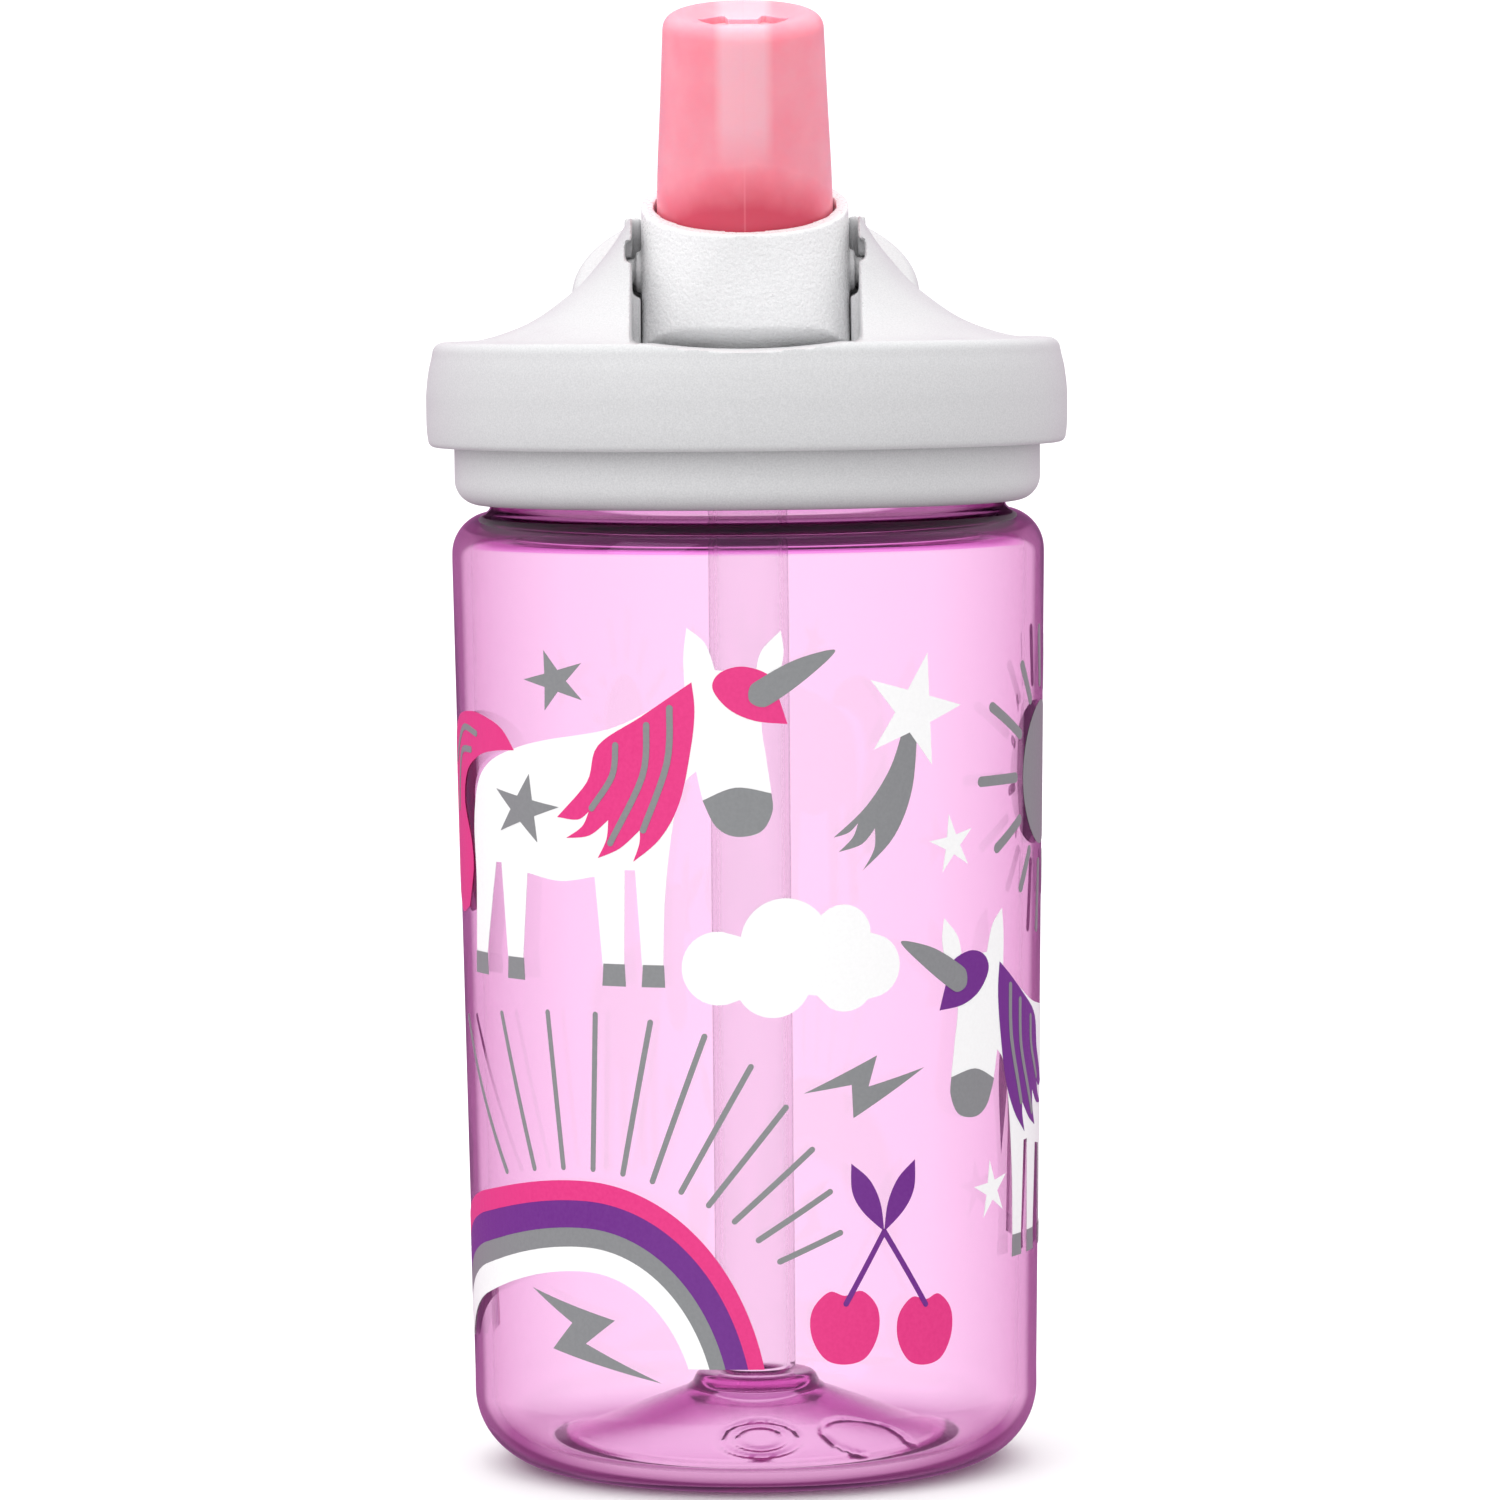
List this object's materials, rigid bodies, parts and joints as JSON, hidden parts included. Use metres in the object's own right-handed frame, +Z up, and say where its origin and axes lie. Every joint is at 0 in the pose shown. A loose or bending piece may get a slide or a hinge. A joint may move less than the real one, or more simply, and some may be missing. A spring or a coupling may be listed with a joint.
{
  "type": "kids water bottle",
  "caption": "Small clear tinted drinking bottle with a wide screw lid, a carry loop and a fold-down straw spout with a soft bite valve.",
  "frame": {"origin": "centre of the base, on the surface that the bottle stands on", "axes": "+Z up along the bottle's axis; the spout folds down towards -Y, the carry loop is at +Y, and X runs along the spout's pivot"},
  "size_m": [0.0768, 0.0768, 0.1756],
  "materials": {
    "tinted_copolyester": "clear gloss, tinted lilac",
    "pearl_plastic": "pearl white satin with fine sparkle",
    "spout_plastic": "silver-white gloss over a spark-eroded grain",
    "pink_silicone": "translucent coral pink, satin",
    "seal_silicone": "translucent white, matte",
    "clear_straw": "clear gloss",
    "ink_white": "printed ink, satin",
    "ink_grey": "printed ink, satin",
    "ink_magenta": "printed ink, satin",
    "ink_purple": "printed ink, satin"
  },
  "bodies": {
    "bottle": {"bottle_body": "tinted_copolyester"},
    "lift_stage": {"lid_gasket": "seal_silicone"},
    "lid": {"lid_base": "pearl_plastic", "lid_shroud": "pearl_plastic", "carry_loop": "pearl_plastic", "port_seal": "seal_silicone", "vent_valve": "seal_silicone", "straw": "clear_straw"},
    "spout": {"spout_stem": "spout_plastic", "bite_valve": "pink_silicone"}
  },
  "joints": [
    {"name": "lid_lift", "type": "slide", "parent": "bottle", "child": "lift_stage", "axis": [0, 0, 1], "range_m": [0, 0.0051]},
    {"name": "lid_turn", "type": "hinge", "parent": "lift_stage", "child": "lid", "pos_m": [0, 0, 0.125], "axis": [0, 0, 1], "range_deg": [0, 450]},
    {"name": "spout_flip", "type": "hinge", "parent": "lid", "child": "spout", "pos_m": [0, 0, 0.1432], "axis": [1, 0, 0], "range_deg": [0, 76.5]}
  ],
  "couplings": [
    {"joint": "lid_lift", "follows": "lid_turn", "m_per_rad": 0.00063662}
  ]
}
